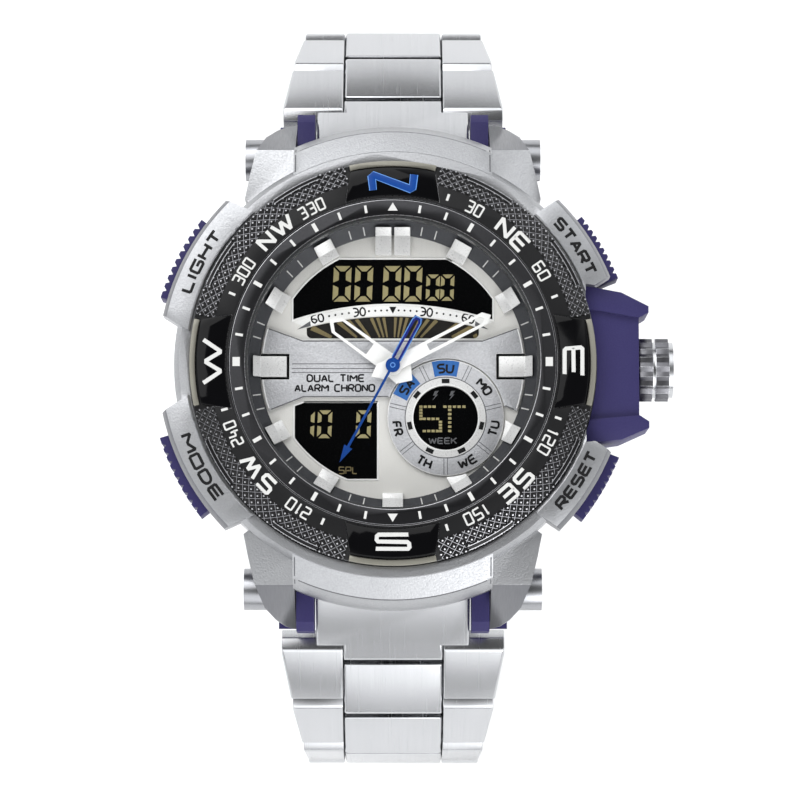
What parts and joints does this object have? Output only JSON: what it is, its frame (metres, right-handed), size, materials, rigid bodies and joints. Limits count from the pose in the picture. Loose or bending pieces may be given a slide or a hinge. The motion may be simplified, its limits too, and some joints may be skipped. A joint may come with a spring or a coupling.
{
  "type": "wristwatch",
  "caption": "Wristwatch with hands and digital windows, turning compass bezel and folding-clasp link bracelet.",
  "frame": {"origin": "centre of the case back's outer face", "axes": "+Z out through the crystal, +Y to twelve o'clock, +X to the crown at three o'clock"},
  "size_m": [0.0572, 0.0874, 0.0664],
  "materials": {
    "blasted_silver": "bead blasted",
    "indigo_resin": "matt moulded",
    "brushed_steel": "brushed, bevels polished",
    "spring_steel": "drawn wire",
    "rubber": "moulded",
    "crystal": "polished",
    "gloss_black": "gloss",
    "black_bezel": "matt black coating",
    "flange_grey": "matt",
    "dial_silver": "grained silver paint",
    "marker_silver": "satin",
    "display_glass": "gloss",
    "module_resin": "moulded",
    "board_green": "solder mask",
    "cell_steel": "pressed steel",
    "copper_coil": "enamelled wire",
    "sounder_brass": "rolled",
    "white_hand": "white paint",
    "blue_hand": "blue paint"
  },
  "bodies": {
    "case": {"mid_case": "indigo_resin", "case_shell": "blasted_silver", "crown_guard": "indigo_resin", "case_back": "brushed_steel", "case_back_gasket": "rubber", "lug_screws": "brushed_steel", "lug_bars": "brushed_steel", "crystal": "crystal", "crystal_gasket": "rubber", "minute_ring": "gloss_black", "chapter_ring": "flange_grey", "dial_plate": "dial_silver", "dial_bridge": "dial_silver", "weekday_ring": "dial_silver", "hour_markers": "marker_silver", "display_upper": "display_glass", "display_lower": "display_glass", "module_frame": "module_resin", "circuit_board": "board_green", "battery": "cell_steel", "motor_coil": "copper_coil", "sounder": "sounder_brass", "spring_light": "spring_steel", "spring_mode": "spring_steel", "spring_start": "spring_steel", "spring_reset": "spring_steel"},
    "bezel": {"bezel_ring": "black_bezel", "bezel_inserts": "gloss_black"},
    "minute_hand": {"minute_hand": "white_hand"},
    "hour_hand": {"hour_hand": "white_hand"},
    "second_hand": {"second_hand": "blue_hand"},
    "light_button": {"button_light": "indigo_resin"},
    "mode_button": {"button_mode": "indigo_resin"},
    "start_button": {"button_start": "indigo_resin"},
    "reset_button": {"button_reset": "indigo_resin"},
    "setting_lever": {"setting_lever": "brushed_steel"},
    "crown": {"crown": "brushed_steel", "crown_stem": "brushed_steel"},
    "end_link_12": {"end_link_12": "brushed_steel"},
    "end_link_6": {"end_link_6": "brushed_steel"},
    "link_12_1": {"link_12_1": "brushed_steel"},
    "link_12_2": {"link_12_2": "brushed_steel"},
    "link_12_3": {"link_12_3": "brushed_steel"},
    "link_12_4": {"link_12_4": "brushed_steel"},
    "link_12_5": {"link_12_5": "brushed_steel"},
    "link_12_6": {"link_12_6": "brushed_steel"},
    "link_12_7": {"link_12_7": "brushed_steel"},
    "link_12_8": {"link_12_8": "brushed_steel"},
    "link_6_1": {"link_6_1": "brushed_steel"},
    "link_6_2": {"link_6_2": "brushed_steel"},
    "link_6_3": {"link_6_3": "brushed_steel"},
    "link_6_4": {"link_6_4": "brushed_steel"},
    "link_6_5": {"link_6_5": "brushed_steel"},
    "link_6_6": {"link_6_6": "brushed_steel"},
    "link_6_7": {"link_6_7": "brushed_steel"},
    "clasp_cover": {"clasp_cover": "brushed_steel"},
    "clasp_middle_blade": {"clasp_middle_blade": "brushed_steel"},
    "clasp_inner_blade": {"clasp_inner_blade": "brushed_steel", "spring_bar": "brushed_steel"}
  },
  "joints": [
    {"name": "bezel_turn", "type": "hinge", "parent": "case", "child": "bezel", "pos_m": [0, 0, 0.0125], "axis": [0, 0, -1], "continuous": true},
    {"name": "minute_hand_turn", "type": "hinge", "parent": "case", "child": "minute_hand", "pos_m": [0, 0, 0.0105], "axis": [0, 0, -1], "continuous": true},
    {"name": "hour_hand_turn", "type": "hinge", "parent": "case", "child": "hour_hand", "pos_m": [0, 0, 0.01], "axis": [0, 0, -1], "continuous": true},
    {"name": "second_hand_turn", "type": "hinge", "parent": "case", "child": "second_hand", "pos_m": [0, 0, 0.011], "axis": [0, 0, -1], "continuous": true},
    {"name": "light_button_press", "type": "slide", "parent": "case", "child": "light_button", "axis": [0.8878, -0.4602, 0], "range_m": [0, 0.0009], "stiffness_N_per_m": 1500, "springref_m": -0.0004, "deforming": ["spring_light"]},
    {"name": "mode_button_press", "type": "slide", "parent": "case", "child": "mode_button", "axis": [0.8878, 0.4602, 0], "range_m": [0, 0.0009], "stiffness_N_per_m": 1500, "springref_m": -0.0004, "deforming": ["spring_mode"]},
    {"name": "start_button_press", "type": "slide", "parent": "case", "child": "start_button", "axis": [-0.8634, -0.5045, 0], "range_m": [0, 0.0009], "stiffness_N_per_m": 1500, "springref_m": -0.0004, "deforming": ["spring_start"]},
    {"name": "reset_button_press", "type": "slide", "parent": "case", "child": "reset_button", "axis": [-0.8634, 0.5045, 0], "range_m": [0, 0.0009], "stiffness_N_per_m": 1500, "springref_m": -0.0004, "deforming": ["spring_reset"]},
    {"name": "crown_pull", "type": "slide", "parent": "case", "child": "setting_lever", "axis": [1, 0, 0], "range_m": [0, 0.0012]},
    {"name": "crown_turn", "type": "hinge", "parent": "setting_lever", "child": "crown", "pos_m": [0.0295, 0, 0.0056], "axis": [1, 0, 0], "continuous": true},
    {"name": "end_link_12_tilt", "type": "hinge", "parent": "case", "child": "end_link_12", "pos_m": [0, 0.0244, 0.002], "axis": [-1, 0, 0], "range_deg": [-8, 0]},
    {"name": "link_12_1_hinge", "type": "hinge", "parent": "end_link_12", "child": "link_12_1", "pos_m": [0, 0.0305, -0.0037], "axis": [-1, 0, 0], "range_deg": [-25, 0]},
    {"name": "link_12_2_hinge", "type": "hinge", "parent": "link_12_1", "child": "link_12_2", "pos_m": [0, 0.03644, -0.00905], "axis": [-1, 0, 0], "range_deg": [-18, 0]},
    {"name": "link_12_3_hinge", "type": "hinge", "parent": "link_12_2", "child": "link_12_3", "pos_m": [0, 0.0408, -0.01576], "axis": [-1, 0, 0], "range_deg": [-28, 0]},
    {"name": "link_12_4_hinge", "type": "hinge", "parent": "link_12_3", "child": "link_12_4", "pos_m": [0, 0.04192, -0.02369], "axis": [-1, 0, 0], "range_deg": [-21, 0]},
    {"name": "link_12_5_hinge", "type": "hinge", "parent": "link_12_4", "child": "link_12_5", "pos_m": [0, 0.04053, -0.03156], "axis": [-1, 0, 0], "range_deg": [-21, 0]},
    {"name": "link_12_6_hinge", "type": "hinge", "parent": "link_12_5", "child": "link_12_6", "pos_m": [0, 0.03677, -0.03863], "axis": [-1, 0, 0], "range_deg": [-21, 0]},
    {"name": "link_12_7_hinge", "type": "hinge", "parent": "link_12_6", "child": "link_12_7", "pos_m": [0, 0.03102, -0.04418], "axis": [-1, 0, 0], "range_deg": [-19, 0]},
    {"name": "link_12_8_hinge", "type": "hinge", "parent": "link_12_7", "child": "link_12_8", "pos_m": [0, 0.02395, -0.04794], "axis": [-1, 0, 0], "range_deg": [-17, 0]},
    {"name": "end_link_6_tilt", "type": "hinge", "parent": "case", "child": "end_link_6", "pos_m": [0, -0.0244, 0.002], "axis": [1, 0, 0], "range_deg": [-8, 0]},
    {"name": "link_6_1_hinge", "type": "hinge", "parent": "end_link_6", "child": "link_6_1", "pos_m": [0, -0.0305, -0.0037], "axis": [1, 0, 0], "range_deg": [-25, 0]},
    {"name": "link_6_2_hinge", "type": "hinge", "parent": "link_6_1", "child": "link_6_2", "pos_m": [0, -0.03644, -0.00905], "axis": [1, 0, 0], "range_deg": [-18, 0]},
    {"name": "link_6_3_hinge", "type": "hinge", "parent": "link_6_2", "child": "link_6_3", "pos_m": [0, -0.0408, -0.01576], "axis": [1, 0, 0], "range_deg": [-28, 0]},
    {"name": "link_6_4_hinge", "type": "hinge", "parent": "link_6_3", "child": "link_6_4", "pos_m": [0, -0.04192, -0.02369], "axis": [1, 0, 0], "range_deg": [-21, 0]},
    {"name": "link_6_5_hinge", "type": "hinge", "parent": "link_6_4", "child": "link_6_5", "pos_m": [0, -0.04053, -0.03156], "axis": [1, 0, 0], "range_deg": [-21, 0]},
    {"name": "link_6_6_hinge", "type": "hinge", "parent": "link_6_5", "child": "link_6_6", "pos_m": [0, -0.03677, -0.03863], "axis": [1, 0, 0], "range_deg": [-21, 0]},
    {"name": "link_6_7_hinge", "type": "hinge", "parent": "link_6_6", "child": "link_6_7", "pos_m": [0, -0.03102, -0.04418], "axis": [1, 0, 0], "range_deg": [-19, 0]},
    {"name": "clasp_cover_hinge", "type": "hinge", "parent": "link_12_8", "child": "clasp_cover", "pos_m": [0, 0.01619, -0.04988], "axis": [-1, 0, 0], "range_deg": [-17, 0]},
    {"name": "middle_blade_hinge", "type": "hinge", "parent": "clasp_cover", "child": "clasp_middle_blade", "pos_m": [0, -0.01995, -0.04965], "axis": [1, 0, 0], "range_deg": [0, 85]},
    {"name": "inner_blade_hinge", "type": "hinge", "parent": "clasp_middle_blade", "child": "clasp_inner_blade", "pos_m": [0, 0.01199, -0.04899], "axis": [1, 0, 0], "range_deg": [-90, 0]}
  ],
  "couplings": [
    {"joint": "hour_hand_turn", "follows": "minute_hand_turn", "ratio": 0.083333},
    {"joint": "second_hand_turn", "follows": "minute_hand_turn", "ratio": 60}
  ]
}
